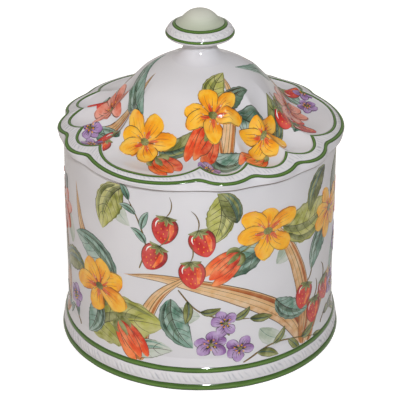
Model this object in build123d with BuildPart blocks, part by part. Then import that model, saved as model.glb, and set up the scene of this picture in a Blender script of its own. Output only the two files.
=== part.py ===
from build123d import *
from math import cos, radians, sin, tan
import os

# A lidded earthenware jar. A straight round barrel stands on a flared foot, and a domed lid
# closes it. The lid's rim is cut into twelve lobes, one broad and three narrow in each third,
# and behind each lobe a flute is scooped out of the dome. A button knob stands on top.
# Millimetres, +Z up, origin on the axis where the foot stands.

# Barrel and base
barrel_radius = 76.6
wall = 5.5
jar_height = 122.6
floor_thickness = 6.5
floor_upstand = 7.5
inside_corner = 6.0
rim_rounding = 1.4
foot_flare = 3.4
foot_bulge = 0.45
foot_width = 9.0
foot_recess = 5.0
foot_rounding = 1.2

# Lid
lid_overhang = 4.6
lip_height = 3.5
lip_undercut = 0.6
dome_rise = 42.6
broad_lobe_angle = 54.0
narrow_lobes = 3
narrow_lobe_inset = 1.2
outer_notch_depth = 4.7
under_notch_depth = 3.0
border_width = 5.6
narrow_border_inset = 2.6
inner_notch_depth = 8.8
broad_fullness = 2.8
narrow_fullness = 2.0
ridge_land_angle = 0.9
flute_depth = 5.6
border_step = 0.8
lid_floor = 3.6

# Locating flange under the lid
flange_clearance = 1.5
flange_thickness = 4.5
flange_depth = 9.0
flange_rounding = 1.5

# Knob
stem_foot_radius = 11.5
stem_radius = 9.0
stem_height = 7.1
stem_flare = 3.2
brim_radius = 19.1
brim_rise = 4.8
brim_edge = 2.1
brim_rounding = 0.7
cap_height = 12.2

# Sizes that follow
barrel_bore = barrel_radius - wall
foot_height = foot_recess + floor_thickness + floor_upstand
foot_radius = barrel_radius + foot_flare
lid_radius = barrel_radius + lid_overhang
seat = jar_height
lip_top = seat + lip_height
dome_top = lip_top + dome_rise
border_radius = lid_radius - border_width
thirds = 3
narrow_lobe_angle = (360 / thirds - broad_lobe_angle) / narrow_lobes
narrow_centres = [
    broad_lobe_angle / 2 + narrow_lobe_angle * (i + 0.5) for i in range(narrow_lobes)
]
flange_radius = barrel_bore - flange_clearance
flange_bore = flange_radius - flange_thickness

# The crest line that the ridges between the flutes follow, from the lip's top edge up to the
# knob's stem: share of the lid's radius, share of the dome's rise.
crest_shares = [
    (1.0, 0.0),
    (0.828, 0.123),
    (0.739, 0.17),
    (0.65, 0.244),
    (0.571, 0.412),
    (0.493, 0.575),
    (0.414, 0.724),
    (0.315, 0.849),
    (0.217, 0.934),
]
crest = [(lid_radius * r, lip_top + dome_rise * z) for r, z in crest_shares]
crest.append((stem_foot_radius, dome_top))

# The knob's top from the brim's edge inwards: share of the brim's radius, share of its height.
cap_shares = [
    (0.9, 0.197),
    (0.785, 0.365),
    (0.675, 0.451),
    (0.55, 0.598),
    (0.445, 0.754),
    (0.33, 0.885),
    (0.188, 0.971),
]

# The smooth hollow under the dome, from the lid's flat underside up: share of the lid's radius,
# share of the dome's height over that underside.
hollow_shares = [
    (0.768, 0.005),
    (0.69, 0.035),
    (0.62, 0.1),
    (0.552, 0.215),
    (0.473, 0.4),
    (0.374, 0.59),
    (0.266, 0.74),
    (0.138, 0.845),
    (0.0, 0.87),
]
hollow = [(lid_radius * r, seat + (dome_top - seat) * z) for r, z in hollow_shares]

# How deep a flute lies under the crest line along its middle: share of the lid's radius,
# share of the flute's depth. Past either end the scoop is clear of the dome.
flute_shares = [
    (0.957, 0.0),
    (0.887, 0.24),
    (0.818, 0.72),
    (0.749, 0.98),
    (0.68, 1.0),
    (0.611, 0.95),
    (0.542, 0.74),
    (0.473, 0.42),
    (0.404, 0.06),
    (0.355, -0.3),
]


def polar(radius, angle):
    return (radius * cos(radians(angle)), radius * sin(radians(angle)))


def crest_height(radius):
    """Height of the crest line at a radius, and the lip's height outside it."""
    for (outer, low), (inner, high) in zip(crest, crest[1:]):
        if inner <= radius <= outer:
            return low + (high - low) * (outer - radius) / (outer - inner)
    return lip_top


def lobed_outline(lobe_radius, notch_radius):
    """Twelve arcs that meet in notches, in the line being drawn."""
    narrow_radius = lobe_radius - narrow_lobe_inset
    lobes = [(0, broad_lobe_angle, lobe_radius)]
    lobes += [(centre, narrow_lobe_angle, narrow_radius) for centre in narrow_centres]
    for third in range(thirds):
        for centre, width, radius in lobes:
            middle = centre + third * 360 / thirds
            ThreePointArc(
                polar(notch_radius, middle - width / 2),
                polar(radius, middle),
                polar(notch_radius, middle + width / 2),
            )


def flute_end(lobe_angle, end_radius, fullness):
    """Points along the rounded end of a flute, from cusp to cusp."""
    cusp = border_radius - inner_notch_depth
    shares = (-1.0, -0.8, -0.5, 0.0, 0.5, 0.8, 1.0)
    return [
        polar(end_radius - (end_radius - cusp) * abs(share) ** fullness, share * lobe_angle / 2)
        for share in shares
    ]


def flute_scoop(lobe_angle, end_radius, fullness):
    """The clay that one flute takes out, for a flute that lies along +X."""
    end = flute_end(lobe_angle, end_radius, fullness)
    side = tan(radians(lobe_angle / 2 - ridge_land_angle))
    clear = dome_top + dome_rise
    with BuildPart() as scoop:
        for share, depth in flute_shares:
            along = lid_radius * share
            edge = along * side
            brim = crest_height((along**2 + edge**2) ** 0.5) + border_step / 2
            floor = max(crest_height(along) - flute_depth * depth, seat + lid_floor)
            with BuildSketch(Plane((along, 0, 0), x_dir=(0, 1, 0), z_dir=(1, 0, 0))):
                with BuildLine():
                    ThreePointArc((-edge, brim), (0, floor), (edge, brim))
                    Polyline((edge, brim), (edge, clear), (-edge, clear), (-edge, brim))
                make_face()
        loft()
        with BuildSketch(Plane.XY.offset(seat)):
            with BuildLine():
                Spline(*end)
                Polyline(end[-1], (0, 0), end[0])
            make_face()
        extrude(amount=clear, mode=Mode.INTERSECT)
    return scoop.part


os.makedirs("parts", exist_ok=True)

# Base: the floor of the jar with its flared foot and the recess under it
with BuildPart() as base:
    with BuildSketch(Plane.XZ):
        with BuildLine():
            flare_middle = (barrel_radius + foot_flare / 2 + foot_bulge, foot_height / 2)
            Polyline(
                (barrel_radius, foot_height),
                (barrel_bore, foot_height),
                (barrel_bore, foot_recess + floor_thickness),
                (0, foot_recess + floor_thickness),
                (0, foot_recess),
                (foot_radius - foot_width, foot_recess),
                (foot_radius - foot_width, 0),
                (foot_radius, 0),
            )
            ThreePointArc((foot_radius, 0), flare_middle, (barrel_radius, foot_height))
        make_face()
    revolve(axis=Axis.Z)
    inner_floor = base.faces().filter_by(Plane.XY).sort_by(Axis.Z)[-2]
    fillet(inner_floor.edges(), inside_corner)
    foot_edges = base.faces().sort_by(Axis.Z)[0].edges()
    fillet(foot_edges, foot_rounding)
base.part.label = "base"
export_step(base.part, "parts/base.step")

# Barrel: the straight wall, with its rim rounded inside and out
with BuildPart() as barrel:
    with BuildSketch(Plane.XY.offset(foot_height)):
        Circle(barrel_radius)
        Circle(barrel_bore, mode=Mode.SUBTRACT)
    extrude(amount=jar_height - foot_height)
    fillet(barrel.faces().sort_by(Axis.Z)[-1].edges(), rim_rounding)
barrel.part.label = "barrel"
export_step(barrel.part, "parts/barrel.step")

broad_scoop = flute_scoop(broad_lobe_angle, border_radius, broad_fullness)
narrow_end = border_radius - narrow_border_inset
narrow_scoop = flute_scoop(narrow_lobe_angle, narrow_end, narrow_fullness)

# A third of the lid: a turned dome between two ridges, scooped into its four flutes
with BuildPart() as lid_third:
    with BuildSketch(Plane.XZ.rotated((0, 0, -broad_lobe_angle / 2))):
        with BuildLine():
            Polyline(crest[1], crest[0], (lid_radius, seat), (flange_bore, seat), hollow[0])
            Spline(*hollow)
            Polyline(hollow[-1], (0, dome_top), crest[-1])
            Spline(*crest[1:])
        make_face()
    revolve(axis=Axis.Z, revolution_arc=360 / thirds)
    add(broad_scoop, mode=Mode.SUBTRACT)
    for centre in narrow_centres:
        add(narrow_scoop.rotate(Axis.Z, centre), mode=Mode.SUBTRACT)

# Lid shell: three of these round the axis, trimmed to the lobed outline
with BuildPart() as lid_shell:
    with PolarLocations(0, thirds):
        add(lid_third.part)
    with BuildSketch(Plane.XY.offset(seat)):
        with BuildLine():
            underside_radius = lid_radius - lip_undercut
            lobed_outline(underside_radius, underside_radius - under_notch_depth)
        make_face()
    with BuildSketch(Plane.XY.offset(lip_top)):
        with BuildLine():
            lobed_outline(lid_radius, lid_radius - outer_notch_depth)
        make_face()
    with BuildSketch(Plane.XY.offset(dome_top)):
        with BuildLine():
            lobed_outline(lid_radius, lid_radius - outer_notch_depth)
        make_face()
    loft(ruled=True, mode=Mode.INTERSECT)
lid_shell.part.label = "lid_shell"
export_step(lid_shell.part, "parts/lid_shell.step")

# Lid flange: the ring under the lid that keeps it central in the mouth
with BuildPart() as lid_flange:
    with BuildSketch(Plane.XY.offset(seat - flange_depth)):
        Circle(flange_radius)
        Circle(flange_bore, mode=Mode.SUBTRACT)
    extrude(amount=flange_depth)
    fillet(lid_flange.faces().sort_by(Axis.Z)[0].edges(), flange_rounding)
lid_flange.part.label = "lid_flange"
export_step(lid_flange.part, "parts/lid_flange.step")

# Knob: a waisted stem, a sloping brim and a bell-shaped cap, turned in one piece
with BuildPart() as knob:
    stem_top = dome_top + stem_height
    brim_low = stem_top + brim_rise
    brim_high = brim_low + brim_edge
    cap_top = brim_high + cap_height
    cap = [(brim_radius * r, brim_high + cap_height * z) for r, z in cap_shares]
    with BuildSketch(Plane.XZ):
        with BuildLine():
            Polyline((0, cap_top), (0, dome_top), (stem_foot_radius, dome_top))
            Spline(
                (stem_foot_radius, dome_top),
                (stem_radius, dome_top + stem_flare),
                (stem_radius, stem_top),
                (brim_radius, brim_low),
            )
            Line((brim_radius, brim_low), (brim_radius, brim_high))
            Spline((brim_radius, brim_high), *cap, (0, cap_top), tangents=[(-1, 1.3), (-1, 0)])
        make_face()
    revolve(axis=Axis.Z)
    brim_edges = knob.edges().filter_by(GeomType.CIRCLE).group_by(SortBy.RADIUS)[-1]
    fillet(brim_edges, brim_rounding)
knob.part.label = "knob"
export_step(knob.part, "parts/knob.step")
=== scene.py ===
"""A lidded earthenware jar: clear glaze on a white body, green bands and painted flowers."""

import itertools
import math
import random

import bpy
import numpy as np
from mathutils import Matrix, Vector


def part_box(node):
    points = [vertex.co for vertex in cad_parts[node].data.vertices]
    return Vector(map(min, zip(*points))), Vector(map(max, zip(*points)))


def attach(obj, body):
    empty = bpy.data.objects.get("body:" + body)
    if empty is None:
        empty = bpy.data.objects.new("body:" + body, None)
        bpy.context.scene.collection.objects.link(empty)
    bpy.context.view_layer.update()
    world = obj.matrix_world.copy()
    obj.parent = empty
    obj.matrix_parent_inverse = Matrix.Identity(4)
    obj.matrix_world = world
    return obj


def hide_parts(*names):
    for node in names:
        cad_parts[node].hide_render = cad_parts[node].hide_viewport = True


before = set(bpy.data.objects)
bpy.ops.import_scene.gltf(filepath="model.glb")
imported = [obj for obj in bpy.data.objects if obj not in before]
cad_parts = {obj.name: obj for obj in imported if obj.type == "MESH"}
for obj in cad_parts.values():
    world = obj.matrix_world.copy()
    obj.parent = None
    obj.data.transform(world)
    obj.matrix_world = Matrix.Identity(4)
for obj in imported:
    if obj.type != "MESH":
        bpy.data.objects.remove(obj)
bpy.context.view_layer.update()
random.seed(7)

# Sizes below are in millimetres, and points become metres where a mesh is made.
MM = 0.001


def corners(node):
    low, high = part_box(node)
    return low / MM, high / MM


# The jar's wall and the rounding of its edges
BARREL_RADIUS = corners("barrel")[1].x
FOOT_HEIGHT = corners("base")[1].z
FOOT_FLARE, FOOT_BULGE = 3.4, 0.45
FOOT_RADIUS = BARREL_RADIUS + FOOT_FLARE
FLARE_MIDDLE = (FOOT_RADIUS + BARREL_RADIUS) / 2 + FOOT_BULGE
FOOT_EDGE, RIM_EDGE = 1.2, 1.4

# The lid, from the face it seats on to the top of its dome
LID_RADIUS = corners("lid_shell")[1].x
SEAT = corners("lid_shell")[0].z
DOME_TOP = corners("lid_shell")[1].z
LIP_HEIGHT = 3.5
LIP_TOP = SEAT + LIP_HEIGHT
LIP_ROLL = 1.5
UNDER_EDGE = 0.7

# Heights on the foot of its two green lines and of the rope between them
FOOT_LINE_LOW, FOOT_ROPE, FOOT_LINE_HIGH = (0.5, 4.4), (4.6, 10.8), (11.0, 14.0)

# The camera's turn round the jar from -Y, and the side that faces it, in degrees round from +X
CAMERA_AZIMUTH = -3.0
FRONT = 270 + CAMERA_AZIMUTH

# Faces that meet at more than this, in degrees, show an edge between them.
SHARP_ANGLE = 50

# Shapes


def smooth_line(points, steps=12):
    """A Catmull-Rom line through the points, as an array."""
    p = np.array(points, float)
    p = np.vstack([2 * p[0] - p[1], p, 2 * p[-1] - p[-2]])
    t = np.linspace(0, 1, steps, endpoint=False)[:, None]
    runs = []
    for a, b, c, d in zip(p, p[1:], p[2:], p[3:]):
        runs.append(
            0.5 * (2 * b + (c - a) * t + (2 * a - 5 * b + 4 * c - d) * t**2
                   + (3 * b - a - 3 * c + d) * t**3)
        )
    return np.vstack(runs + [p[-2:-1]])


def lengths_along(line):
    return np.concatenate([[0], np.cumsum(np.hypot(*np.diff(line, axis=0).T))])


def smooth_step(x):
    x = np.clip(x, 0, 1)
    return x * x * (3 - 2 * x)


def soft_floor(x, low, softness):
    """The larger of x and low, with the corner between them rounded."""
    return low + 0.5 * (x - low + np.sqrt((x - low) ** 2 + softness**2))


def around(radius, angle, height):
    """Points from radius, angle in degrees and height."""
    turn = np.radians(angle)
    return np.stack(np.broadcast_arrays(radius * np.cos(turn), radius * np.sin(turn), height), -1)


def mesh_piece(name, points, faces, material, body, brush=None):
    """A smooth mesh object, in metres, that rides on a body."""
    mesh = bpy.data.meshes.new(name)
    mesh.from_pydata((np.asarray(points) * MM).tolist(), [], faces)
    if brush is not None:
        layer = mesh.uv_layers.new(name="brush")
        used = np.empty(len(mesh.loops), int)
        mesh.loops.foreach_get("vertex_index", used)
        layer.uv.foreach_set("vector", np.asarray(brush)[used].ravel())
    mesh.polygons.foreach_set("use_smooth", np.ones(len(mesh.polygons), bool))
    mesh.set_sharp_from_angle(angle=math.radians(SHARP_ANGLE))
    mesh.materials.append(material)
    piece = bpy.data.objects.new(name, mesh)
    bpy.context.scene.collection.objects.link(piece)
    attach(piece, body)
    return piece


def grid_faces(rows, columns, close_rows=False, close_columns=False):
    """Quads of a grid of points, closed either way where asked."""
    i, j = np.meshgrid(np.arange(rows if close_rows else rows - 1),
                       np.arange(columns if close_columns else columns - 1), indexing="ij")
    row, next_row = i * columns, (i + 1) % rows * columns
    next_j = (j + 1) % columns
    quads = np.stack([row + j, row + next_j, next_row + next_j, next_row + j], -1)
    return quads.reshape(-1, 4)


def turned_faces(rings, columns):
    """Faces of closed rings, from the top one down, with a fan to a pole at each end."""
    faces = grid_faces(rings, columns, close_columns=True)[:, ::-1].tolist()
    first, last = rings * columns, rings * columns + 1
    for j in range(columns):
        k = (j + 1) % columns
        faces.append((first, j, k))
        faces.append((last, (rings - 1) * columns + k, (rings - 1) * columns + j))
    return faces


def wall_radius(height):
    """Outer radius of the jar: a flared foot with a rounded edge, under a straight wall."""
    height = np.asarray(height, float)
    flare = np.polyfit([0, FOOT_HEIGHT / 2, FOOT_HEIGHT],
                       [FOOT_RADIUS, FLARE_MIDDLE, BARREL_RADIUS], 2)
    radius = np.where(height < FOOT_HEIGHT, np.polyval(flare, height), BARREL_RADIUS)
    in_edge = np.clip(FOOT_EDGE - height, 0, FOOT_EDGE)
    in_rim = np.clip(height - SEAT + RIM_EDGE, 0, RIM_EDGE)
    return (radius - FOOT_EDGE + np.sqrt(FOOT_EDGE**2 - in_edge**2)
            - RIM_EDGE + np.sqrt(RIM_EDGE**2 - in_rim**2))


# The lid's form: a crest line, lobes and flutes

# Angles in degrees: half a broad and a narrow lobe, a third of the lid, and the ridge's flat top
BROAD_HALF, NARROW_HALF, THIRD, LAND = 27.0, 11.0, 120.0, 0.9
LOBE_INSET = 1.2
STEM_RADIUS = 9.0

# A notch's radius, and how far to either side, in degrees, its corner is rounded
EDGE_NOTCH, EDGE_SOFTNESS = LID_RADIUS - 5.2, 2.2
UNDER_RADIUS = LID_RADIUS - 0.6
UNDER_NOTCH, UNDER_SOFTNESS = UNDER_RADIUS - 3.2, 4.0

# The lobed line where the border begins, and the swell of glaze just outside it
BORDER_RADIUS = LID_RADIUS - 5.6
BORDER_INSET = 2.6
CUSP_RADIUS = BORDER_RADIUS - 8.8
BROAD_FULLNESS, NARROW_FULLNESS = 2.8, 2.0
BORDER_SWELL = 0.35

# How deep a flute is, the length over which its end runs out, and the lowest that it may reach
FLUTE_DEPTH, FLUTE_RUNOUT, FLUTE_FLOOR = 5.6, 2.2, SEAT + 4.0

# Shares of the lid's radius and of the dome's rise, or of the flute's depth
CREST = [(1.0, 0.0), (0.828, 0.123), (0.739, 0.17), (0.65, 0.244), (0.571, 0.412), (0.493, 0.575),
         (0.414, 0.724), (0.315, 0.849), (0.217, 0.934), (0.142, 1.0)]
FLUTE = [(0.957, 0.0), (0.887, 0.24), (0.818, 0.72), (0.749, 0.98), (0.68, 1.0), (0.611, 0.95),
         (0.542, 0.74), (0.473, 0.42), (0.404, 0.1), (0.355, 0.0)]
HOLLOW = [(0.802, 0.0), (0.768, 0.005), (0.69, 0.035), (0.62, 0.1), (0.552, 0.215), (0.473, 0.4),
          (0.374, 0.59), (0.266, 0.74), (0.138, 0.845), (0.02, 0.87)]

crest_line = smooth_line(CREST[::-1])
crest_r = crest_line[:, 0] * LID_RADIUS
crest_z = LIP_TOP + crest_line[:, 1] * (DOME_TOP - LIP_TOP)
crest_run = lengths_along(np.stack([crest_r, crest_z], -1))
flute_line = smooth_line(FLUTE[::-1])


def lobe_at(angle):
    """Each angle's place in its lobe, in degrees from the lobe's middle, and the lobe's half."""
    turn = np.mod(np.asarray(angle, float) + BROAD_HALF, THIRD)
    broad = turn < 2 * BROAD_HALF
    step = np.floor((turn - 2 * BROAD_HALF) / (2 * NARROW_HALF))
    middle = np.where(broad, BROAD_HALF, 2 * BROAD_HALF + (2 * step + 1) * NARROW_HALF)
    return turn - middle, np.where(broad, BROAD_HALF, NARROW_HALF)


def lobed_edge(angle, lobe=LID_RADIUS, notch=EDGE_NOTCH, softness=EDGE_SOFTNESS):
    """Radius of the lid's outline: arcs that meet in rounded notches, the narrow ones set in."""
    off, half = lobe_at(np.asarray(angle, float)[..., None] + softness * np.linspace(-1, 1, 9))
    reach = np.where(half < BROAD_HALF, lobe - LOBE_INSET, lobe)
    half_turn, off_turn = np.radians(half), np.radians(off)
    across, back = notch * np.sin(half_turn), reach - notch * np.cos(half_turn)
    arc = (across**2 + back**2) / (2 * back)
    middle = reach - arc
    edge = middle * np.cos(off_turn) + np.sqrt(arc**2 - (middle * np.sin(off_turn)) ** 2)
    return edge.mean(-1)


def lobed_line(angle):
    """Radius of the line where the flutes end and the border begins."""
    off, half = lobe_at(angle)
    narrow = half < BROAD_HALF
    reach = np.where(narrow, BORDER_RADIUS - BORDER_INSET, BORDER_RADIUS)
    fullness = np.where(narrow, NARROW_FULLNESS, BROAD_FULLNESS)
    return reach - (reach - CUSP_RADIUS) * np.abs(off / half) ** fullness


def lid_height(radius, angle):
    """Height of the lid's glazed top: the crest line less the flute scooped there."""
    crest = np.interp(radius, crest_r, crest_z)
    off, half = lobe_at(angle)
    # Across a flute: a bowl that meets the flat top of the ridges in a soft crease
    bowl = soft_floor(1 - (off / (half - LAND)) ** 2, 0, 0.22) - 0.03
    # Along it: its depth, run out towards the lobed line, where the border's glaze swells up
    depth = FLUTE_DEPTH * np.interp(radius / LID_RADIUS, flute_line[:, 0], flute_line[:, 1])
    line = lobed_line(angle)
    inside = smooth_step((line - radius) / FLUTE_RUNOUT)
    swell = (1 - inside) * np.exp(-((line + 1.2 - radius) / 2) ** 2)
    cut = soft_floor(crest - depth * bowl, FLUTE_FLOOR, 1.0)
    share = inside * smooth_step((bowl + 0.02) / 0.1)
    return crest + (cut - crest) * share + BORDER_SWELL * swell


def make_lid(material):
    """The glazed lid: lobed and fluted above, with a rolled lip and a smooth hollow below."""
    columns = 720
    angle = np.arange(columns) * 360 / columns
    line = lobed_line(angle)
    edge = lobed_edge(angle)
    foot = lobed_edge(angle, UNDER_RADIUS, UNDER_NOTCH, UNDER_SOFTNESS)
    # From the knob's stem to the lip, with the rings closest across the crease at the lobed line
    stops = [STEM_RADIUS + 2.5, line - 2.4, line + 1.0, edge - LIP_ROLL]
    rings = []
    for start, end, count in zip(stops, stops[1:], (62, 10, 9)):
        for share in np.linspace(0, 1, count)[1 if rings else 0:]:
            radius = start + (end - start) * share
            rings.append((radius, lid_height(radius, angle)))
    # The rolled lip, the edge's side, its rounded underside and the hollow
    top = lid_height(edge - LIP_ROLL, angle)
    for turn in np.radians(np.linspace(15, 90, 6)):
        rings.append((edge - LIP_ROLL * (1 - np.sin(turn)), top - LIP_ROLL * (1 - np.cos(turn))))
    side = top - LIP_ROLL
    for share in (0.3, 0.6, 0.9):
        rings.append((edge + (foot - edge) * share, side + (SEAT + 0.8 - side) * share))
    for turn in np.radians(np.linspace(0, 90, 5)):
        inward, up = UNDER_EDGE * (1 - np.cos(turn)), UNDER_EDGE * (1 - np.sin(turn))
        rings.append((foot - inward, SEAT + up))
    for share, rise in smooth_line(HOLLOW, 3):
        rings.append((share * LID_RADIUS, SEAT + rise * (DOME_TOP - SEAT)))
    points = [around(r * np.ones(columns), angle, z) for r, z in rings]
    points += [[[0, 0, rings[0][1].mean() + 1.0]], [[0, 0, rings[-1][1]]]]
    faces = turned_faces(len(rings), columns)
    lid = mesh_piece("lid_dome", np.vstack(points), faces, material, "lid")
    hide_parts("lid_shell")


# Materials. Each pattern's scale comes from the real size of its clouds, streaks or rings.

GLAZE_IOR = 1.52
GLAZED_WHITE = "#E0E0E1"

# A Mix node's two colour inputs and its colour output
COLOUR_A, COLOUR_B, MIXED = 6, 7, 2


def linear(hex_colour):
    """An sRGB hex colour as linear values with alpha."""
    values = [int(hex_colour[i:i + 2], 16) / 255 for i in (1, 3, 5)]
    return [v / 12.92 if v <= 0.04045 else ((v + 0.055) / 1.055) ** 2.4 for v in values] + [1.0]


def add_node(owner, kind, inputs=(), output=0, stops=(), **settings):
    """Adds a node with its settings and links, and returns one output, or all of them for None.

    An input is given a value, a hex colour or the output that feeds it, by its name or in order.
    The stops are pairs of place and hex colour along a ramp."""
    tree = owner.node_tree
    node = tree.nodes.new("ShaderNode" + kind)
    for name, value in settings.items():
        setattr(node, name, value)
    for name, value in inputs.items() if isinstance(inputs, dict) else enumerate(inputs):
        if isinstance(value, bpy.types.NodeSocket):
            tree.links.new(value, node.inputs[name])
        else:
            node.inputs[name].default_value = linear(value) if isinstance(value, str) else value
    for k, (place, colour) in enumerate(stops):
        ramp = node.color_ramp.elements
        mark = ramp[k] if k < len(ramp) else ramp.new(1.0)
        mark.position, mark.color = place, linear(colour)
    return node.outputs if output is None else node.outputs[output]


def scale_of(size):
    """The scale of a pattern whose real size is in millimetres."""
    return 1 / (size * MM)


def new_material(name, roughness):
    material = bpy.data.materials.new(name)
    material.use_nodes = True
    shader = material.node_tree.nodes["Principled BSDF"]
    shader.inputs["Roughness"].default_value = roughness
    shader.inputs["IOR"].default_value = GLAZE_IOR
    return material, shader


def under_glaze(material, shader, colour):
    """Colour seen through clear glaze, whose slow ripple bends the highlights a little."""
    place = add_node(material, "TexCoord", output="Object")
    ripple = add_node(material, "TexNoise", {
        "Vector": place, "Scale": scale_of(11), "Detail": 1.0})
    bump = add_node(material, "Bump", {"Height": ripple, "Strength": 0.25, "Distance": 0.4 * MM})
    material.node_tree.links.new(bump, shader.inputs["Normal"])
    material.node_tree.links.new(colour, shader.inputs["Base Color"])


def white_glaze(name, bare_and_shade_below=None, bare_body_and_shade_colour="#E2D8C6"):
    """Clear glaze on white earthenware, dipped and fired.

    It gives a cool glossy white with a faint cloudiness where the glaze has pooled. Where it
    was wiped off or broke thin over an edge, the dry body shows; a dark colour there is also
    painted shadow."""
    material, shader = new_material(name, 0.1)
    place = add_node(material, "TexCoord", output="Object")
    pooling = add_node(material, "TexNoise", {
        "Vector": place, "Scale": scale_of(35), "Detail": 2.0})
    colour = add_node(material, "ValToRGB", [pooling], stops=[
        (0.3, "#D9D9DB"), (0.7, GLAZED_WHITE)])
    # Below the given height the dry body colour shows; a dark colour there also paints a shadow
    # line.
    if bare_and_shade_below is not None:
        height = add_node(material, "SeparateXYZ", [place], "Z")
        wander = add_node(material, "Math", [pooling, 0.6 * MM, height], operation="MULTIPLY_ADD")
        glazed, bared = (bare_and_shade_below + 0.55) * MM, (bare_and_shade_below + 0.25) * MM
        bare_and_shade_mask = add_node(material, "MapRange", {
            "Value": wander, "From Min": glazed, "From Max": bared})
        colour = add_node(material, "Mix", {"Factor": bare_and_shade_mask, COLOUR_A: colour, COLOUR_B: bare_body_and_shade_colour}, MIXED,
                          data_type="RGBA")
        rough = add_node(material, "Math", [bare_and_shade_mask, 0.6, 0.1], operation="MULTIPLY_ADD")
        material.node_tree.links.new(rough, shader.inputs["Roughness"])
    under_glaze(material, shader, colour)
    return material


def moulded_glaze(name):
    """Clear glaze over a moulded rope in the white body.

    It gives white strands with darker blue-grey between them: glaze that ran off the strands and
    pooled in the grooves, and painted shade deepening the grooves where the relief is low."""
    material, shader = new_material(name, 0.12)
    brush = add_node(material, "UVMap", output="UV", uv_map="brush")
    rise = add_node(material, "SeparateXYZ", [brush], "Y")
    place = add_node(material, "TexCoord", output="Object")
    # The strands are worn and pooled unevenly, in patches about as wide as two strands.
    worn = add_node(material, "TexNoise", {
        "Vector": place, "Scale": scale_of(6), "Detail": 2.0})
    share = add_node(material, "Math", [worn, 0.8, rise], operation="MULTIPLY_ADD")
    share = add_node(material, "Math", [share, 0.4], operation="SUBTRACT")
    # The ramp darkens the low parts of the relief: blue-grey pooled glaze and painted shade in the
    # grooves.
    under_glaze(material, shader, add_node(material, "ValToRGB", [share], stops=[
        (0.15, "#AEB0B6"), (0.55, "#D2D3D6"), (0.9, GLAZED_WHITE)]))
    return material


def brushed_band(name, middle, edge, streak):
    """Copper-green underglaze, banded on the wheel with a liner brush.

    It gives a strong leaf green that is denser along both edges of the line, with paler
    streaks where the brush ran dry."""
    material, shader = new_material(name, 0.1)
    brush = add_node(material, "UVMap", output="UV", uv_map="brush")
    across = add_node(material, "SeparateXYZ", [brush], "Y")
    place = add_node(material, "TexCoord", output="Object")
    # Streaks 9 mm long run round the jar, and vary quickly across the line.
    grain = add_node(material, "VectorMath", [place, (scale_of(9), scale_of(9), 0)],
                     operation="MULTIPLY")
    sweep = add_node(material, "CombineXYZ", {
        "Z": add_node(material, "Math", [across, 3.5], operation="MULTIPLY")})
    strokes = add_node(material, "VectorMath", [grain, sweep], operation="ADD")
    noise = add_node(material, "TexNoise", {"Vector": strokes, "Scale": 1.0, "Detail": 3.0})
    off_middle = add_node(material, "Math", [
        add_node(material, "Math", [across, 0.5], operation="SUBTRACT")], operation="ABSOLUTE")
    dense = add_node(material, "Math", [noise, 0.35, off_middle], operation="MULTIPLY_ADD")
    under_glaze(material, shader, add_node(material, "ValToRGB", [dense], stops=[
        (0.22, streak), (0.42, middle), (0.66, edge)]))
    return material


def brush_colour(name, stops, edge, pale, dryness):
    """Underglaze colour laid with a loaded brush, leaf by leaf and petal by petal.

    It gives a wash that runs from one tint to the next along the stroke and across it, with
    hair streaks, clouds where the water pooled, one side thinned towards the white body and a
    darker rim where the wet colour dried. No two strokes have quite the same tint."""
    material, shader = new_material(name, 0.1)
    brush = add_node(material, "UVMap", output="UV", uv_map="brush")
    share, across, _ = add_node(material, "SeparateXYZ", [brush], None)
    # The brush tells a stroke's number with the share along it as the fraction.
    number = add_node(material, "Math", [share], operation="FLOOR")
    along = add_node(material, "Math", [share], operation="FRACT")
    tone = add_node(material, "TexWhiteNoise", {"W": number}, noise_dimensions="1D")
    hairs = add_node(material, "VectorMath", [
        add_node(material, "CombineXYZ", [along, across, number]), (2.0, 7.0, 7.3)],
        operation="MULTIPLY")
    streak = add_node(material, "TexNoise", {"Vector": hairs, "Scale": 1.0, "Detail": 3.0})
    place = add_node(material, "TexCoord", output="Object")
    cloud = add_node(material, "TexNoise", {
        "Vector": place, "Scale": scale_of(5.5), "Detail": 3.0})
    shift = add_node(material, "Math", [across, 0.3, -0.8], operation="MULTIPLY_ADD")
    for part, weight in ((along, 0.6), (streak, 0.7), (cloud, 0.7), (tone, 0.3)):
        shift = add_node(material, "Math", [part, weight, shift], operation="MULTIPLY_ADD")
    colour = add_node(material, "ValToRGB", [shift], stops=stops)
    far = add_node(material, "Math", [tone, across], operation="SUBTRACT")
    far = add_node(material, "Math", [far, far], operation="MULTIPLY")
    thin = add_node(material, "Math", [cloud, 3.0, -1.35], operation="MULTIPLY_ADD")
    thin = add_node(material, "Math", [thin, far], operation="ADD", use_clamp=True)
    thin = add_node(material, "Math", [thin, dryness], operation="MULTIPLY")
    colour = add_node(material, "Mix", {"Factor": thin, COLOUR_A: colour, COLOUR_B: pale}, MIXED,
                      data_type="RGBA")
    rim = add_node(material, "Math", [across, 2.0, -1.0], operation="MULTIPLY_ADD")
    rim = add_node(material, "Math", [rim, 8.0], operation="POWER")
    rim = add_node(material, "Math", [rim, streak], operation="MULTIPLY")
    colour = add_node(material, "Mix", {"Factor": rim, COLOUR_A: colour, COLOUR_B: edge}, MIXED,
                      data_type="RGBA")
    under_glaze(material, shader, colour)
    return material


white = white_glaze("clear_glaze_on_white_earthenware")
glazes = {name: white for name in ("barrel", "lid_shell", "knob")}
for name, wiped in (("base", 0.0), ("lid_flange", corners("lid_flange")[0].z)):
    glazes[name] = white_glaze("wiped_" + name + "_glaze", wiped)
for name, glaze in glazes.items():
    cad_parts[name].data.materials.clear()
    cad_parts[name].data.materials.append(glaze)
# The lip's lower edge: glaze broken thin, in a dark brown that is also painted shadow for the dark
# line under the lip.
make_lid(white_glaze("glaze_thin_and_painted_shadow_at_the_lip", SEAT + 0.4, "#6F5A4B"))

# Bands, rope relief and knob

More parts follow.
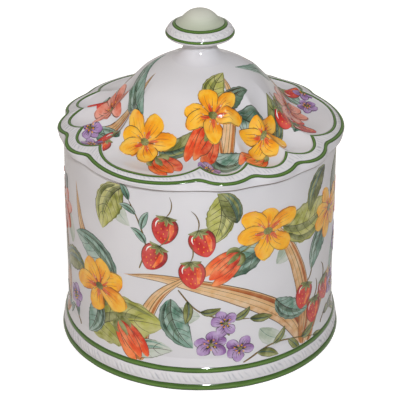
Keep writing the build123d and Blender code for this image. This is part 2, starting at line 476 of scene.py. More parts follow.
# Half the width of the lid's inner green line, and where the outer one starts on the bend of the
# lip and how wide it is
LINE_HALF = 0.85
LIP_LINE_START, LIP_LINE_WIDTH = 0.65, 2.3


def ring_piece(name, section, rows, material, body, bed=0.3, columns=1080):
    """A closed band that goes once round. The section gives its radius and height at each
    angle, for a share across it from the outer or lower side and a lift off the surface. Each
    row across it has its lifts, and what the brush tells the material there. The band is closed
    by a bed that lies within the body under it."""
    angle = np.arange(columns) * 360 / columns
    shares = np.linspace(0, 1, len(rows))
    top = [(q, lift, told) for q, (lift, told) in zip(shares, rows)]
    rows = top + [(q, np.full(columns, -bed), told) for q, lift, told in top[::-1]]
    points, brush = [], []
    for q, lift, told in rows:
        radius, height = section(angle, q, lift)
        points.append(around(radius * np.ones(columns), angle, height))
        brush.append(np.stack([angle / 360, np.broadcast_to(told, columns)], -1))
    faces = grid_faces(len(rows), columns, close_rows=True, close_columns=True)
    return mesh_piece(name, np.vstack(points), faces, material, body, np.vstack(brush))


def hand_wobble(angle, size, seed):
    """A slow wander round the jar, as a hand-held brush leaves."""
    turn = np.radians(angle)
    waves = [(3, 0.5), (7, 0.3), (13, 0.25), (29, 0.2)]
    return size * sum(a * np.sin(n * turn + seed * n * 1.7) for n, a in waves)


def wall_section(low, high, seed):
    """Section of a band on the jar's wall between two heights."""
    def section(angle, q, lift):
        up = low + (high - low) * q + hand_wobble(angle, 0.16, seed + (q > 0.5))
        return wall_radius(up) + lift, up
    return section


def border_section(inward, outward):
    """Section of a band on the lid's border, between the lobed line and the lip."""
    def section(angle, q, lift):
        outer = lobed_edge(angle) - outward
        inner = lobed_line(angle) + inward
        radius = outer + (inner - outer) * q
        return radius, lid_height(radius, angle) + lift
    return section


def line_section(angle, q, lift):
    """Section of the green line on the lobed line, with an even width in the lobes' flanks too."""
    line = lobed_line(angle)
    slope = np.gradient(line, np.radians(angle)) / line
    half = LINE_HALF * np.sqrt(1 + np.clip(slope, -1.1, 1.1) ** 2) + hand_wobble(angle, 0.08, 3)
    radius = line + half * (1 - 2 * q) + 0.1
    return radius, lid_height(radius, angle) + lift


def lip_section(angle, q, lift):
    """Section of the green line that rolls over the lid's edge, from the lip up to the border."""
    edge = lobed_edge(angle)
    top = lid_height(edge - LIP_ROLL, angle)
    reach = LIP_LINE_START + LIP_LINE_WIDTH * q
    bend = LIP_ROLL * math.pi / 2
    turn = np.clip(1 - reach / bend, 0, 1) * math.pi / 2
    past = max(reach - bend, 0)
    radius = edge - LIP_ROLL + (LIP_ROLL + lift) * np.sin(turn) - past
    height = top - LIP_ROLL + (LIP_ROLL + lift) * np.cos(turn)
    return radius, np.where(past > 0, lid_height(edge - LIP_ROLL - past, angle) + lift, height)


def rope(columns, rows, strands, height, slant):
    """Rows of a moulded rope: slanting strands, unevenly pressed. The brush tells their rise."""
    turn = 2 * math.pi * np.arange(columns) / columns
    # The strands wander sideways and are pressed more or less, by waves that never fall in step.
    wander = 0.16 * np.sin(17 * turn) + 0.14 * np.sin(41 * turn + 1.0) + 0.1 * np.sin(71 * turn)
    pressed = 0.74 + 0.14 * np.sin(23 * turn + 2.0) + 0.12 * np.sin(61 * turn)
    lifts = []
    for q in np.linspace(0, 1, rows):
        strand = np.abs(np.sin(strands * turn / 2 + math.pi * (slant * (q - 0.5) + wander))) ** 0.6
        swell = smooth_step(min(q, 1 - q) / 0.3)
        lifts.append((0.04 + height * swell * (0.3 + 0.7 * strand) * pressed,
                      1 - swell * pressed * (1 - strand)))
    return lifts


def bead(height):
    """Rows of a low rounded bead under a painted line. The brush tells how far across they are."""
    return [(0.05 + height * 4 * q * (1 - q), q) for q in np.linspace(0, 1, 11)]


lines_green = brushed_band("copper_green_liner", "#46692A", "#375420", "#5E8438")
# The ropes' grooves get pooled glaze and painted shade.
pooled_glaze_and_painted_shade = moulded_glaze("clear_glaze_pooled_and_painted_shade_in_relief")

ring_piece("foot_line_low", wall_section(*FOOT_LINE_LOW, 1), bead(0.72), lines_green, "jar")
ring_piece("foot_line_high", wall_section(*FOOT_LINE_HIGH, 2), bead(0.44), lines_green, "jar")
ring_piece("lid_line_inner", line_section, bead(0.12), lines_green, "lid")
ring_piece("lid_line_outer", lip_section, bead(0.08), lines_green, "lid")
ring_piece("foot_rope", wall_section(*FOOT_ROPE, 1), rope(2160, 17, 156, 0.7, 1.25), pooled_glaze_and_painted_shade, "jar",
           columns=2160)
ring_piece("lid_rope", border_section(1.05, 2.3), rope(2160, 13, 200, 0.5, 0.9), pooled_glaze_and_painted_shade, "lid",
           columns=2160)

# The knob's outline from the dome up, as radius and height over the dome's top: the flare into
# the dome, the stem, the brim and the cap. Then the heights of its two green lines and its rope.
KNOB = [(18.4, -3.35), (17.0, -2.58), (15.6, -1.88), (14.2, -1.1), (12.9, -0.15), (11.7, 0.95),
        (10.4, 2.6), (9.3, 4.6), (9.0, 6.2), (9.3, 7.3), (10.4, 8.3),
        (12.5, 9.5), (15.5, 10.7), (17.8, 11.4), (18.8, 12.1), (19.1, 12.9), (18.9, 13.7),
        (18.2, 14.8), (17.2, 16.0), (16.2, 17.0), (15.0, 17.9), (14.0, 18.4), (12.9, 19.1),
        (11.8, 19.9), (10.5, 21.0), (8.5, 23.1), (6.3, 24.8), (3.6, 25.85), (0.3, 26.2)]
KNOB_EDGE, KNOB_RING, KNOB_ROPE = (13.0, 14.4), (17.75, 18.8), (14.6, 17.6)

knob_line = smooth_line(KNOB, 6)
knob_run = lengths_along(knob_line)


def knob_section(low, high):
    """Section of a band on the knob, between two heights over the dome's top."""
    ends = np.interp((low, high), knob_line[:, 1], knob_run)
    def section(angle, q, lift):
        along = ends[0] + (ends[1] - ends[0]) * q
        near = np.array([along - 0.2, along, along + 0.2])
        r, z = (np.interp(near, knob_run, knob_line[:, k]) for k in (0, 1))
        size = math.hypot(r[2] - r[0], z[2] - z[0])
        return (r[1] + lift * (z[2] - z[0]) / size + hand_wobble(angle, 0.05, q),
                DOME_TOP + z[1] - lift * (r[2] - r[0]) / size)
    return section


def celadon_and_white(name):
    """Celadon slip on the knob's cap over the white body, under the same clear glaze.

    It gives a soft grey-green that pools a little darker round the cap's foot, and brushed
    rings from the wheel. The brim and the stem stay white."""
    material, shader = new_material(name, 0.1)
    place = add_node(material, "TexCoord", output="Object")
    height = add_node(material, "SeparateXYZ", [place], "Z")
    low, high = ((DOME_TOP + z) * MM for z in (KNOB_RING[0], KNOB[-1][1]))
    rise = add_node(material, "MapRange", {"Value": height, "From Min": low, "From Max": high})
    turned = add_node(material, "VectorMath", [
        place, (scale_of(20), scale_of(20), scale_of(1.2))], operation="MULTIPLY")
    rings = add_node(material, "TexNoise", {"Vector": turned, "Scale": 1.0, "Detail": 3.0})
    shade = add_node(material, "Math", [rings, 0.35, rise], operation="MULTIPLY_ADD")
    celadon = add_node(material, "ValToRGB", [shade], stops=[
        (0.1, "#98A489"), (0.32, "#BAC3AC"), (0.8, "#CDD3C1"), (1.0, "#D4D8C9")])
    on_cap = add_node(material, "Math", [height, low], operation="GREATER_THAN")
    colour = add_node(material, "Mix", {
        "Factor": on_cap, COLOUR_A: "#DCDCDE", COLOUR_B: celadon}, MIXED, data_type="RGBA")
    under_glaze(material, shader, colour)
    return material


def make_knob():
    """The knob, turned in one line from the flare on the dome to the top of its cap."""
    columns = 240
    angle = np.arange(columns) * 360 / columns
    rings = [(r, DOME_TOP + z) for r, z in knob_line[::-1]]
    # Closed inside the dome, out of sight
    rings += [(15.5, rings[-1][1] - 1.6), (3.0, rings[-1][1] - 1.6)]
    points = [around(r * np.ones(columns), angle, z) for r, z in rings]
    points += [[[0, 0, rings[0][1] + 0.02]], [[0, 0, rings[-1][1]]]]
    knob = mesh_piece("celadon_knob", np.vstack(points), turned_faces(len(rings), columns),
                      celadon_and_white("celadon_slip_under_clear_glaze"), "lid")
    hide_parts("knob")


make_knob()
for name, heights in (("knob_line_edge", KNOB_EDGE), ("knob_line_ring", KNOB_RING)):
    ring_piece(name, knob_section(*heights), bead(0.08), lines_green, "lid", 0.2, 360)
ring_piece("knob_rope", knob_section(*KNOB_ROPE), rope(720, 13, 38, 0.45, 1.5), pooled_glaze_and_painted_shade, "lid",
           0.2, 720)

# Painting: every stroke is a thin film of its own, and darker work lies over lighter

# Each pigment: its real make-up, colours from a stroke's foot to its tip, the rim where the wet
# colour dried, the tint where it is thin, and how much of it is thin.
PIGMENTS = {
    # Clear egg-yolk petals that deepen to orange at the throat
    "amber": ("antimony_yellow", "#E07A0C #F79F10 #FFBE22 #F59312", "#B0600C", "#FFDC6A", 0.6),
    # Flame-red buds, scarlet at the foot and soft orange at the lip
    "flame": ("selenium_orange", "#B8210F #E03C18 #F0602A #F58E42", "#8A1A0C", "#FAB47A", 0.55),
    # Ripe red with a dark side
    "crimson": ("selenium_red", "#7E1014 #B41A1A #CE2A22 #D8463A", "#5E0C10", "#E8766C", 0.45),
    # Dusty violet, darkest at the throat
    "violet": ("manganese_violet", "#6A3A74 #9064A0 #AE8CC0 #9468A4", "#4C2A58", "#D9CAE2", 0.6),
    # Cool blue-green leaves in a wet, uneven wash
    "sage": ("chrome_cobalt_green", "#2C5440 #5A8670 #8CAD9C #5E8874", "#2A4638", "#BFD0C6", 0.75),
    # Warm dark olive for small leaves, calyxes and the shaded halves
    "olive": ("chrome_iron_green", "#3E4718 #686F2E #8A9050 #5C6428", "#333A16", "#B9BC88", 0.65),
    # Broad yellow-green leaves, pale and streaky
    "lime": ("chrome_antimony_green", "#767E22 #A3A546 #BABA62 #8E9238", "#5C641E", "#D9D79E",
             0.75),
    # Black-green laid in the folds
    "deep": ("chrome_black_green", "#22382A #365240 #56745A #3A5842", "#1C2C22", "#90A492", 0.7),
    # Dry blades in buff, burnt at the ends
    "tan": ("iron_buff", "#B87436 #D8A86E #E0B986 #CB975A", "#9A5C2C", "#EBD6B6", 0.6),
    # Burnt orange along the blades' edges
    "burnt": ("iron_rust", "#8E4218 #A95A24 #BE783C #9C5020", "#74340F", "#CF9A66", 0.3),
    # Salmon petals, thin enough for the body to show
    "coral": ("chrome_tin_pink", "#B8402C #DC6E54 #EA967E #DE7A62", "#94301F", "#F6C4B4", 0.7),
    # Fine brush lines: rims, veins and stalks
    "ink": ("iron_manganese_brown", "#2B2D22 #353523 #464230 #3A3828", "#22241C", "#6A6650", 0.2),
    # Stalks and tendrils
    "umber": ("iron_umber", "#5A4520 #7A6534 #6E5A2C #564420", "#3E2F14", "#A8935E", 0.3),
    # Raised dots and wet lights
    "white": ("tin_white", "#EDEBE6 #F2F0EC #F4F2EE #F0EEEA", "#D8D6D0", "#F4F2EE", 0.1),
    # The palest leaves, washed in far behind the rest
    "mist": ("thinned_green", "#9FAE98 #B8C4B0 #CAD1C4 #B0BCA8", "#A4B09E", "#D9DBD6", 0.7),
}

# Stroke shapes: how soon a stroke widens from its foot, and how soon it narrows to its tip
LEAF, PETAL, TIPPED, ROUND = (0.75, 0.95), (0.6, 0.36), (0.62, 0.52), (0.5, 0.5)
BERRY, BLADE, LINE, BUD, REED = (0.4, 0.62), (0.4, 0.8), (0.12, 0.3), (0.42, 0.6), (0.42, 1.0)

# The painting's layers from the body outwards, and the step from one film to the next over it
FILM = 0.18
MIST, REEDS, REEDS_OVER, LEAVES, LEAVES_OVER = 0.0, 0.4, 1.0, 1.6, 2.2
SPRIGS, FRUIT, FLOWERS = 2.8, 3.9, 4.6

# How far the first layer lies off the body, and a film's bed within it. A line finer than
# FINE_LINE is a thin film on the wash under it instead, so that its side doesn't show below.
FIRST_LAYER, BED = 0.03, 0.2
FINE_LINE, FINE_FILM = 0.6, 0.08

# Where the painting stops, softly: over the foot's upper line, under the lid, and within the
# lid's lobed line. Heights on the dome are counted from the circle DOME_START.
PAINT_LOW, PAINT_HIGH, WALL_SOFTNESS = FOOT_HEIGHT - 4.9, SEAT - 1.9, 0.6
DOME_START, DOME_MARGIN, DOME_SOFTNESS = BORDER_RADIUS - 1.0, 1.4, 0.8

# Spacing of the films' points and thickness of a layer, on the wall and on the dome
WALL_STEP, WALL_UNIT = 1.3, 0.045
DOME_STEP, DOME_UNIT = 0.5, 0.05

# Strokes are numbered in a round, as a high number would leave few digits for the fraction.
STROKES_COUNTED = 997

films = {}
stroke_numbers = itertools.count(1)


def wall_canvas(middle):
    """The jar's wall unrolled: x to the viewer's right of the middle angle, y up."""
    def place(x, y, lift):
        up = soft_floor(y, PAINT_LOW, WALL_SOFTNESS)
        up = -soft_floor(-up, -PAINT_HIGH, WALL_SOFTNESS)
        return around(wall_radius(up) + lift, FRONT + middle + np.degrees(x / BARREL_RADIUS), up)
    return "jar", place, WALL_STEP, WALL_UNIT


def dome_canvas(middle):
    """The lid's glaze unrolled: x to the viewer's right of the middle angle, y up the crest."""
    start = np.interp(DOME_START, crest_r, crest_run)

    def place(x, y, lift):
        radius = np.interp(start - y, crest_run, crest_r)
        angle = FRONT + middle + np.degrees(x / radius)
        radius = -soft_floor(-radius, DOME_MARGIN - lobed_line(angle), DOME_SOFTNESS)
        # The lift is upright, so on the slope it takes half as much again to clear the glaze.
        return around(radius, angle, lid_height(radius, angle) + 1.5 * lift)
    return "lid", place, DOME_STEP, DOME_UNIT


def stroke(canvas, pigment, layer, spine, width, shape=LEAF, ragged=0.0):
    """Lays a closed film along a spine. Returns the point at a share along and across it.

    The canvas gives the body, where a point of it goes, the spacing of a film's points and how
    far one layer lies over the one below."""
    body, place, step, unit = canvas
    path = smooth_line(spine, 8)
    run = lengths_along(path)
    foot, tip = shape
    peak = (foot / (foot + tip)) ** foot * (tip / (foot + tip)) ** tip

    def at(share, across):
        share, across = np.broadcast_arrays(np.asarray(share, float), np.asarray(across, float))
        x, y = (np.interp(share * run[-1], run, path[:, k]) for k in (0, 1))
        ends = [np.clip(share + d, 0, 1) * run[-1] for d in (-0.02, 0.02)]
        dx, dy = (np.interp(ends[1], run, path[:, k]) - np.interp(ends[0], run, path[:, k])
                  for k in (0, 1))
        half = width / 2 * share**foot * (1 - share) ** tip / peak
        half = half * (1 + ragged * np.sin(share * 43)) * across / np.hypot(dx, dy)
        return np.stack([x - dy * half, y + dx * half], -1)

    # Rows lie closer towards the ends, which stop just short of a point.
    rows, columns = int(run[-1] / step) + 5, int(width / step) + 2
    along = 0.0006 + 0.9988 * (1 - np.cos(np.linspace(0, math.pi, rows))) / 2
    across = np.linspace(1, -1, columns)
    flat = at(along[:, None], across).reshape(-1, 2)
    lift = FIRST_LAYER + unit * layer
    top = place(flat[:, 0], flat[:, 1], lift)
    bed = place(flat[:, 0], flat[:, 1], lift - FINE_FILM if width < FINE_LINE else -BED)
    faces = grid_faces(rows, columns)
    count = rows * columns
    grid = np.arange(count).reshape(rows, columns)
    loop = np.concatenate([grid[0, :-1], grid[:-1, -1], grid[-1, :0:-1], grid[:0:-1, 0]])
    ahead = np.roll(loop, -1)
    rim = np.stack([loop, loop + count, ahead + count, ahead], -1)
    film = films.setdefault((body, pigment), ([], [], []))
    base = sum(len(p) for p in film[0])
    # The brush tells the stroke's number with the share along it, and the share across it.
    number = next(stroke_numbers) % STROKES_COUNTED
    brush = np.stack([np.repeat(number + 0.001 + 0.998 * along, columns),
                      np.tile((1 - across) / 2, rows)], -1)
    film[0].append(np.vstack([top, bed]))
    film[1].append(np.vstack([faces, faces[:, ::-1] + count, rim]) + base)
    film[2].append(np.vstack([brush, brush]))
    return at


def sway(foot, turn, length, bend=0.0):
    """Points of a spine that leaves its foot for a heading in degrees, and bends on the way."""
    points = [foot]
    for k in (-1.5, -0.5, 0.5, 1.5):
        heading = math.radians(turn + bend * k)
        x, y = points[-1]
        points.append((x + length / 4 * math.cos(heading), y + length / 4 * math.sin(heading)))
    return points


def fine_line(canvas, pigment, layer, points, width):
    """A fine line from the tip of a brush, never twice the same weight."""
    stroke(canvas, pigment, layer, points, width * random.uniform(0.6, 1.25), LINE)


def outline(canvas, layer, at, width=0.3, start=0.04):
    """Fine lines along both edges of a stroke, lifted here and there."""
    for side in (0.96, -0.96):
        first = start + random.uniform(0, 0.12)
        last = 0.98 - random.choice((0, 0, 0.08, 0.3))
        fine_line(canvas, "ink", layer, at(np.linspace(first, last, 7), side), width)


def leaf(canvas, pigment, layer, foot, turn, length, width, bend=12, veins=4, shade="deep"):
    """A leaf: a wash, darker strokes in the folds, a midrib, side veins and a fine edge."""
    at = stroke(canvas, pigment, layer, sway(foot, turn, length, bend), width, LEAF, 0.05)
    side = -1 if bend > 0 else 1
    over = layer + FILM
    stroke(canvas, shade, over, at(np.linspace(0.0, 0.8, 5), 0.2 * side), width * 0.17, BLADE)
    if veins:
        stroke(canvas, shade, over, at(np.linspace(0.1, 0.9, 5), 0.72 * side), width * 0.13, BLADE)
    fine_line(canvas, "ink", over + FILM, at(np.linspace(0.0, 0.98, 6), 0), 0.45)
    for k in range(veins):
        start = 0.08 + 0.7 * k / veins + random.uniform(0, 0.04)
        for across in (0.84, -0.84):
            vein = at([start, start + 0.06, start + 0.17], [0, 0.42 * across, across])
            fine_line(canvas, "ink", over + FILM, vein, 0.27)
    outline(canvas, over + FILM, at)


def flower(canvas, pigment, layer, centre, radius, petals, turn, tilt, flush="flame"):
    """An open flower: overlapping petals with a flush and hairlines, then the eye and stamens."""
    def spot(reach, heading, side=0.0):
        x = reach * math.cos(heading) - side * math.sin(heading)
        y = reach * math.sin(heading) + side * math.cos(heading)
        return centre[0] + x, centre[1] + tilt * y

    width = radius * 4.1 / petals
    for k in range(petals):
        heading = math.radians(turn + 360 * k / petals + random.uniform(-8, 8))
        length = radius * random.uniform(0.86, 1.1)
        twist = random.uniform(-0.14, 0.14) * length
        spine = [spot(0.08 * length, heading), spot(0.5 * length, heading, twist),
                 spot(0.85 * length, heading, twist * 0.6), spot(length, heading)]
        thin = (tilt + (1 - tilt) * abs(math.sin(heading))) * random.uniform(0.9, 1.06)
        over = layer + 3 * FILM * k
        shape = random.choice((PETAL, TIPPED))
        at = stroke(canvas, pigment, over, spine, width * thin, shape, 0.03)
        throat = at([0.04, 0.2, 0.42], [0, 0.1, 0.05])
        stroke(canvas, flush, over + FILM, throat, width * 0.2, BLADE)
        for across in (-0.4, 0.02, 0.38):
            hair = at([0.12, 0.4, random.uniform(0.55, 0.78)],
                      [across * 0.4, across * 0.9, across])
            dark = "burnt" if pigment == "amber" else "ink"
            fine_line(canvas, dark, over + 2 * FILM, hair, 0.26)
        outline(canvas, over + 2 * FILM, at, 0.28, 0.2)
    top = layer + 3 * FILM * petals
    eye = radius * 0.15
    spine = [(centre[0] - eye, centre[1]), centre, (centre[0] + eye, centre[1])]
    stroke(canvas, "olive", top, spine, eye * 1.5, ROUND)
    for k in range(7):
        heading = math.radians(turn + 51 * k)
        end = spot(radius * random.uniform(0.24, 0.4), heading)
        fine_line(canvas, "umber", top + FILM, [spot(eye * 0.3, heading), end], 0.32)
        stroke(canvas, "tan" if pigment == "amber" else "amber", top + 2 * FILM,
               [(end[0] - 0.5, end[1]), (end[0] + 0.5, end[1])], 0.85, ROUND)


def bud(canvas, layer, foot, turn, length, width):
    """A tall bud: two outer petals behind a middle one, held in a green cup."""
    for k, lean in enumerate((-1, 1, 0)):
        over = layer + 2 * FILM * k
        spine = sway(foot, turn + 9 * lean, length * (1 if lean else 0.92), -10 * lean)
        at = stroke(canvas, "flame", over, spine, width * 0.62, BUD)
        for across in (-0.3, 0.25):
            hair = at([0.08, 0.4, 0.7], [0, across * 0.8, across])
            fine_line(canvas, "ink", over + FILM, hair, 0.26)
        outline(canvas, over + FILM, at, 0.28)
    for k, lean in enumerate((-34, 32, 0)):
        cup = sway(foot, turn + lean, length * 0.4, -lean)
        stroke(canvas, "olive", layer + (7 + k) * FILM, cup, width * 0.25, LEAF)
    stroke(canvas, "olive", layer + 6 * FILM, sway(foot, turn + 180, length * 0.5, 14), 1.2, BLADE)


def strawberry(canvas, layer, top, turn, length, width):
    """A ripe berry under its calyx, with seeds, a bright flank and a wet light."""
    at = stroke(canvas, "crimson", layer, sway(top, turn, length), width, BERRY)
    stroke(canvas, "flame", layer + FILM, at([0.2, 0.45, 0.7, 0.85], 0.5), width * 0.2, BLADE)
    over = layer + 2 * FILM
    for row in range(4):
        for column in (-1, 0, 1):
            share = 0.26 + 0.17 * row
            across = 0.5 * column + (0.22 if row % 2 else -0.04)
            stroke(canvas, "amber", over, at([share, share + 0.05], across * 0.9), 0.5, BERRY)
    stroke(canvas, "white", over, at([0.16, 0.28, 0.44], [-0.58, -0.7, -0.68]), 0.8, BLADE)
    outline(canvas, over, at, 0.3, 0.02)
    for lean in (-84, -48, 50, 86, 8):
        sepal = sway(top, turn + lean, width * 0.42, lean / 5)
        stroke(canvas, "olive", over + FILM, sepal, 2.1, LEAF)
        fine_line(canvas, "ink", over + 2 * FILM, sepal[:-1], 0.26)
    stroke(canvas, "umber", over + FILM, sway(top, turn + 180, length * 0.75, 18), 0.7, BLADE)


def sprig(canvas, pigment, layer, points, leaves, size):
    """A thin stem with small leaves on alternate sides and one at its tip."""
    at = stroke(canvas, "umber", layer, points, 0.9, LINE)
    for k in range(leaves):
        share = 0.18 + 0.82 * k / (leaves - 1)
        ahead = at(min(share + 0.04, 1.0), 0) - at(share - 0.04, 0)
        heading = math.degrees(math.atan2(ahead[1], ahead[0]))
        lean = 0 if k == leaves - 1 else 42 if k % 2 else -42
        long = size * random.uniform(0.85, 1.1)
        leaf(canvas, pigment, layer + FILM, tuple(at(share, 0)), heading + lean, long, long * 0.38,
             lean / 4 + 3, 0)


def reed(canvas, layer, points, width):
    """A long dry grass blade: a buff wash with a fold, burnt along its shaded side."""
    at = stroke(canvas, "tan", layer, points, width, REED, 0.03)
    stroke(canvas, "burnt", layer + FILM, at(np.linspace(0.0, 0.8, 8), -0.62), width * 0.2, BLADE)
    over = layer + 2 * FILM
    fine_line(canvas, "umber", over, at(np.linspace(0.01, 0.96, 9), -0.12), 0.42)
    fine_line(canvas, "umber", over, at(np.linspace(0.12, 0.7, 7), 0.42), 0.24)
    outline(canvas, over, at, 0.36)


def paint_wall(middle, second):
    """Half the wall: dry blades, flowers, berries and leaves, from the back layer to the front."""
    canvas = wall_canvas(middle)
    for foot, turn, size in (((44, 72), 60, 26), ((0, 46), 200, 26), ((-92, 66), 120, 24),
                             ((100, 56), 20, 24), ((-52, 118), 300, 26), ((34, 34), 330, 22),
                             ((-112, 36), 60, 24), ((116, 84), 110, 24)):
        at = stroke(canvas, "mist", MIST, sway(foot, turn, size, 14), size * 0.46, LEAF, 0.04)
        fine_line(canvas, "sage", MIST + FILM, at([0, 0.3, 0.6, 0.9], 0), 0.4)
    reed(canvas, REEDS, [(66, 14), (54, 34), (34, 50), (8, 62), (-22, 68), (-44, 66)], 12)
    reed(canvas, REEDS_OVER, [(64, 14), (66, 38), (60, 64), (48, 88), (30, 108)], 10.5)
    reed(canvas, REEDS, [(68, 14), (79, 32), (94, 45), (113, 51)], 10)
    reed(canvas, REEDS, [(-36, 14), (-44, 36), (-60, 60), (-78, 82), (-84, 108)], 11.5)
    reed(canvas, REEDS_OVER, [(-34, 14), (-32, 38), (-22, 58), (-4, 72)], 9)
    reed(canvas, REEDS, [(-106, 14), (-102, 40), (-108, 68), (-124, 94)], 10)
    reed(canvas, REEDS_OVER, [(-107, 14), (-113, 28), (-123, 40)], 8)
    leaf(canvas, "lime", LEAVES, (-70, 20), 20, 56, 31, -14, 6, "olive")
    leaf(canvas, "sage", LEAVES_OVER, (-50, 58), 152, 42, 18, 16, 5)
    leaf(canvas, "sage", LEAVES_OVER, (-64, 44), 250, 28, 14, -12)
    leaf(canvas, "olive", LEAVES_OVER, (-76, 58), 196, 32, 14, 12)
    leaf(canvas, "lime", LEAVES, (-44, 119), 244, 34, 18, 12, 5, "olive")
    leaf(canvas, "sage", LEAVES_OVER, (-16, 56), 292, 34, 16, 14, 5)
    leaf(canvas, "lime", LEAVES, (10, 119), 262, 30, 16, -12, 5, "olive")
    leaf(canvas, "olive", LEAVES_OVER, (84, 118), 236, 28, 13, 12)
    leaf(canvas, "sage", LEAVES, (44, 50), 330, 30, 13, 12, 5)
    leaf(canvas, "mist", LEAVES, (-40, 18), 12, 26, 12, -10, 3, "sage")
    leaf(canvas, "sage", LEAVES_OVER, (36, 88), 200, 36, 17, -14, 5)
    leaf(canvas, "lime", LEAVES, (48, 94), 6, 44, 24, 14, 6, "olive")
    leaf(canvas, "olive", LEAVES_OVER, (20, 102), 118, 24, 11, 10)
    leaf(canvas, "sage", LEAVES_OVER, (92, 84), 232, 34, 15, 12, 5)
    leaf(canvas, "olive", LEAVES_OVER, (98, 92), 60, 28, 13, -12)
    leaf(canvas, "deep", LEAVES_OVER, (-100, 104), 250, 36, 14, 12, 4, "ink")
    leaf(canvas, "lime", LEAVES, (118, 118), 262, 36, 20, 12, 5, "olive")
    leaf(canvas, "sage", LEAVES, (124, 64), 214, 34, 16, 12, 5)
    leaf(canvas, "olive", LEAVES_OVER, (-112, 70), 300, 30, 13, 14)
    sprig(canvas, "olive", SPRIGS, [(-12, 62), (-2, 50), (12, 44), (28, 42)], 5, 14)
    sprig(canvas, "olive", SPRIGS, [(24, 15), (42, 22), (58, 20), (74, 15)], 5, 14)
    sprig(canvas, "sage", SPRIGS, [(-34, 72), (-30, 86), (-34, 100), (-40, 112)], 5, 13)
    sprig(canvas, "sage", SPRIGS, [(-82, 18), (-91, 26), (-97, 21), (-104, 25)], 4, 12)
    sprig(canvas, "olive", SPRIGS, [(84, 18), (94, 25), (101, 19), (110, 23)], 4, 12)
    for x, y, turn in ((-18, 106, 262), (-1, 99, 288), (-22, 88, 244), (-5, 80, 276)):
        strawberry(canvas, FRUIT, (x, y), turn, 17, 15)
    for x, y, turn in ((68, 52, 250), (86, 47, 285), (76, 39, 264)):
        strawberry(canvas, FRUIT, (x, y), turn, 16, 14.5)
    flower(canvas, "amber", FLOWERS, (-62, 52), 20, 6, 20, 0.86)
    bud(canvas, SPRIGS, (-48, 36), 306, 27, 14)
    flower(canvas, "amber", FLOWERS, (38, 94), 19, 6, 80, 0.8)
    bud(canvas, SPRIGS, (22, 84), 222, 25, 13)
    flower(canvas, second, FLOWERS, (92, 88), 18, 7, 50, 0.86)
    flower(canvas, "coral", FLOWERS, (-112, 84), 19, 8, 10, 0.9)
    for x, y, size, turn in ((6, 28, 9.5, 15), (22, 24, 8.5, 60), (14, 41, 8.5, 100),
                             (112, 60, 9, 40), (101, 37, 8, 80), (-88, 34, 8.5, 10)):
        flower(canvas, "violet", FLOWERS, (x, y), size, 5, turn, 0.9, "ink")


def paint_lid(middle):
    """Half the lid, as seen from the front: each group is placed by its own middle angle."""
    def spread(turn):
        return dome_canvas(middle + turn)

    reed(spread(26), REEDS, [(-18, 9), (-10, 22), (-3, 38), (2, 52), (2, 66)], 8)
    reed(spread(26), REEDS_OVER, [(-18, 9), (-14, 24), (-12, 38), (-14, 52)], 6.5)
    reed(spread(-66), REEDS, [(-8, 9), (0, 26), (3, 42), (0, 60)], 7)
    leaf(spread(-40), "sage", LEAVES, (-4, 36), 128, 40, 14, -16, 6)
    leaf(spread(-34), "olive", LEAVES, (8, 24), 24, 28, 13, 14, 5)
    leaf(spread(-2), "sage", LEAVES_OVER, (6, 26), 330, 30, 14, 18, 5)
    leaf(spread(-48), "sage", LEAVES, (-4, 20), 196, 24, 11, 12, 4)
    leaf(spread(16), "lime", LEAVES, (-4, 46), 60, 24, 12, -12, 4, "olive")
    leaf(spread(22), "sage", LEAVES_OVER, (4, 42), 300, 32, 15, -18, 6)
    leaf(spread(16), "deep", LEAVES, (0, 44), 20, 22, 10, -14, 4, "ink")
    leaf(spread(50), "olive", LEAVES_OVER, (0, 22), 60, 26, 11, 12)
    leaf(spread(62), "sage", LEAVES, (2, 18), 24, 28, 12, 12, 5)
    leaf(spread(84), "lime", LEAVES, (-2, 40), 250, 34, 14, 12, 5, "olive")
    bud(spread(-30), SPRIGS, (5, 19), 320, 24, 12.5)
    flower(spread(-36), "amber", FLOWERS, (0, 26), 17, 6, 12, 0.84)
    bud(spread(6), SPRIGS, (2, 38), 244, 28, 13)
    flower(spread(10), "amber", FLOWERS, (0, 43), 16, 6, 40, 0.84)
    bud(spread(38), SPRIGS, (-3, 18), 214, 21, 11)
    flower(spread(42), "amber", FLOWERS, (0, 25), 15, 6, 30, 0.88)
    flower(spread(-88), "coral", FRUIT, (0, 28), 15, 7, 20, 0.9)
    for turn, up, lean in ((70, 34, 250), (79, 30, 290), (73, 22, 270), (-60, 24, 260),
                           (-56, 14, 284)):
        strawberry(spread(turn), SPRIGS, (0, up), lean, 14, 12.5)
    for turn, up in ((-62, 8), (4, 8), (-74, 12)):
        flower(spread(turn), "violet", FRUIT, (0, up), 7, 5, 15, 0.9, "ink")


paint_wall(0, "amber")
paint_wall(180, "coral")
paint_lid(0)
paint_lid(180)
mineral = {
    key: brush_colour(make + "_underglaze", list(zip((0.02, 0.34, 0.68, 0.98), stops.split())),
                      edge, pale, dryness)
    for key, (make, stops, edge, pale, dryness) in PIGMENTS.items()
}
for (body, pigment), (points, faces, brush) in films.items():
    mesh_piece(f"{body}_paint_{pigment}", np.vstack(points), np.vstack(faces), mineral[pigment],
               body, np.vstack(brush))


# Stage, lights and camera

# The point looked at and the camera's distance from it in metres, its pitch in degrees, and its
# lens and sensor in millimetres
AIM = Vector((0, 0, 0.0783))
CAMERA_DISTANCE, CAMERA_PITCH = 1.1042, 26.87
LENS, SENSOR = 173.6, 36

# How much of the backdrop's white the glaze mirrors, and how much of it the floor itself gives
# off, as the lamps add the rest
MIRRORED_SHARE, FLOOR_GLOW = 0.2, 0.8


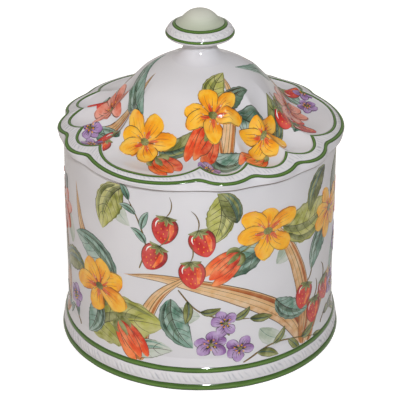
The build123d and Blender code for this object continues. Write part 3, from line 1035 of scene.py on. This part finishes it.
def seen_by_camera(owner):
    """1 where the camera sees the backdrop, a share of that where it sees it in the glaze, or 0."""
    seen = add_node(owner, "LightPath", output=None)
    bent = add_node(owner, "Math", [seen["Is Glossy Ray"], seen["Is Transmission Ray"]],
                    operation="ADD")
    return add_node(owner, "Math", [bent, MIRRORED_SHARE, seen["Is Camera Ray"]],
                    operation="MULTIPLY_ADD")


def make_floor():
    """A plain pale floor, seen as white where no shadow falls."""
    material, shader = new_material("white_paper_sweep", 0.9)
    shader.inputs["Base Color"].default_value = linear("#CFCDCA")
    shader.inputs["Emission Color"].default_value = linear("#FFFFFF")
    glow = add_node(material, "Math", [seen_by_camera(material), FLOOR_GLOW],
                    operation="MULTIPLY")
    material.node_tree.links.new(glow, shader.inputs["Emission Strength"])
    mesh = bpy.data.meshes.new("floor")
    reach = 6.0
    corner_points = [(-reach, -reach, 0), (reach, -reach, 0), (reach, reach, 0), (-reach, reach, 0)]
    mesh.from_pydata(corner_points, [], [(0, 1, 2, 3)])
    mesh.materials.append(material)
    floor = bpy.data.objects.new("floor", mesh)
    bpy.context.scene.collection.objects.link(floor)


def make_world():
    """Soft light from all round, seen as white where the camera looks past the floor."""
    world = bpy.data.worlds.new("studio")
    world.use_nodes = True
    light = world.node_tree.nodes["Background"]
    light.inputs["Color"].default_value = linear("#E8DCD6")
    light.inputs["Strength"].default_value = 0.3
    paper = add_node(world, "Background", {"Color": "#FFFFFF", "Strength": 1.0})
    both = add_node(world, "MixShader", [seen_by_camera(world), light.outputs[0], paper])
    world.node_tree.links.new(both, world.node_tree.nodes["World Output"].inputs["Surface"])
    bpy.context.scene.world = world


def add_light(name, place, size, power, tint="#FFFFFF", mirrored=False):
    """A round lamp that faces the jar. The glaze mirrors the flash and no other lamp."""
    light = bpy.data.lights.new(name, "AREA")
    light.color = linear(tint)[:3]
    light.shape = "DISK"
    light.size = size
    light.energy = power
    holder = bpy.data.objects.new(name, light)
    holder.location = place
    holder.rotation_euler = (AIM - Vector(place)).to_track_quat("-Z", "Y").to_euler()
    holder.visible_glossy = mirrored
    bpy.context.scene.collection.objects.link(holder)


def make_camera():
    """The photograph's viewing angle and lens, as fitted to the ellipses of its foot and lid."""
    turn, pitch = math.radians(CAMERA_AZIMUTH), math.radians(CAMERA_PITCH)
    level = math.cos(pitch)
    back = Vector((math.sin(turn) * level, -math.cos(turn) * level, math.sin(pitch)))
    camera = bpy.data.objects.new("camera", bpy.data.cameras.new("camera"))
    camera.data.lens = LENS
    camera.data.sensor_width = SENSOR
    camera.location = AIM + back * CAMERA_DISTANCE
    camera.rotation_euler = (-back).to_track_quat("-Z", "Y").to_euler()
    bpy.context.scene.collection.objects.link(camera)
    bpy.context.scene.camera = camera


make_floor()
make_world()
make_camera()
add_light("flash_beside_lens", (0.05, -1.1, 0.82), 0.09, 9.8, "#F5F8FF", mirrored=True)
add_light("softbox_left", (-1.1, -0.75, 0.95), 1.2, 4.6, "#FFEEE4")
add_light("softbox_above_right", (0.6, -1.0, 1.4), 1.5, 0.4)
add_light("softbox_behind", (0.3, 1.3, 1.2), 1.5, 7.0)
bpy.context.scene.view_settings.view_transform = "Standard"
